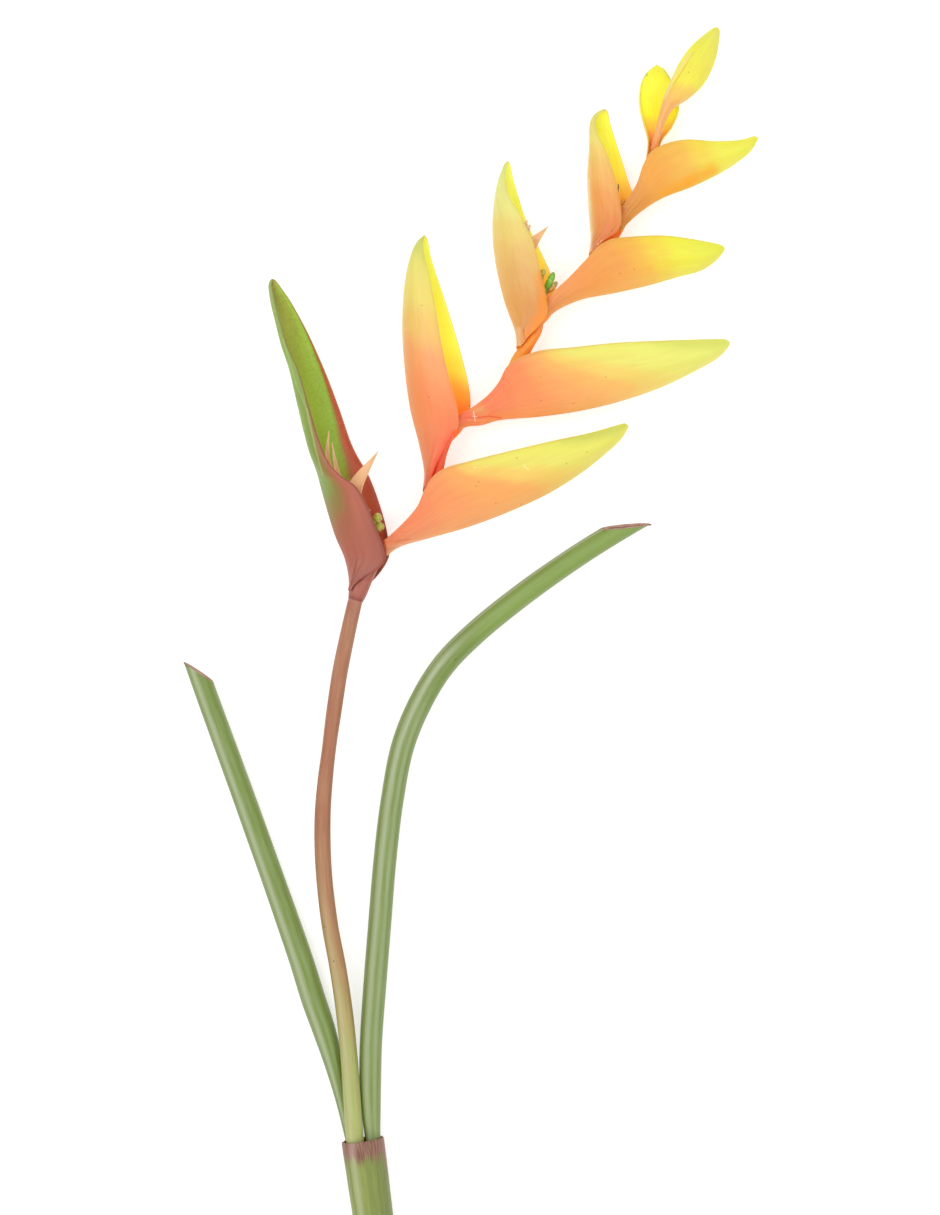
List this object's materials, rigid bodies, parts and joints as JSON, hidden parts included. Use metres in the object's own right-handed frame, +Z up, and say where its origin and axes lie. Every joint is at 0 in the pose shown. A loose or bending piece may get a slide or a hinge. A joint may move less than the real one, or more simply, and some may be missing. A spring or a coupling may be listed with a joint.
{
  "type": "heliconia flower",
  "caption": "Cut heliconia flower stem lying down, with a zigzag axis of boat-shaped orange and yellow bracts and two cut leaf stalks in a green sheath.",
  "frame": {"origin": "middle of the small flat spot under the leaf sheath, on the surface that the flower lies on", "axes": "+Z up from the surface, +Y from the cut end towards the flower's tip, +X towards the side that the curved leaf stalk bends to"},
  "size_m": [0.4038, 0.8908, 0.0327],
  "materials": {
    "sheath": "satin green leaf sheath with a maroon papery mouth",
    "leaf_stalk": "smooth waxy green with a soft gloss",
    "peduncle": "satin salmon brown, yellow-green at its foot",
    "rachis": "satin red-orange, ribbed lengthwise",
    "basal_bract": "satin rose-brown with green keel and green inside",
    "coral_bract": "waxy satin, coral at the base to yellow at the tip",
    "amber_bract": "waxy satin, orange at the base to bright yellow at the tip",
    "yellow_bract": "waxy satin, bright yellow with an orange base",
    "sepal": "matte cream-peach petal tissue",
    "bud": "satin olive green"
  },
  "bodies": {
    "root": {"sheath": "sheath", "left_stalk": "leaf_stalk", "right_stalk": "leaf_stalk", "peduncle": "peduncle", "rachis": "rachis", "basal_bract": "basal_bract", "left_bract_1": "coral_bract", "right_bract_1": "coral_bract", "left_bract_2": "coral_bract", "right_bract_2": "coral_bract", "left_bract_3": "amber_bract", "right_bract_3": "amber_bract", "right_bract_4": "amber_bract", "left_bract_4": "yellow_bract", "top_bract": "yellow_bract", "basal_flowers": "sepal", "middle_flowers": "sepal", "upper_flower": "bud"}
  },
  "joints": []
}
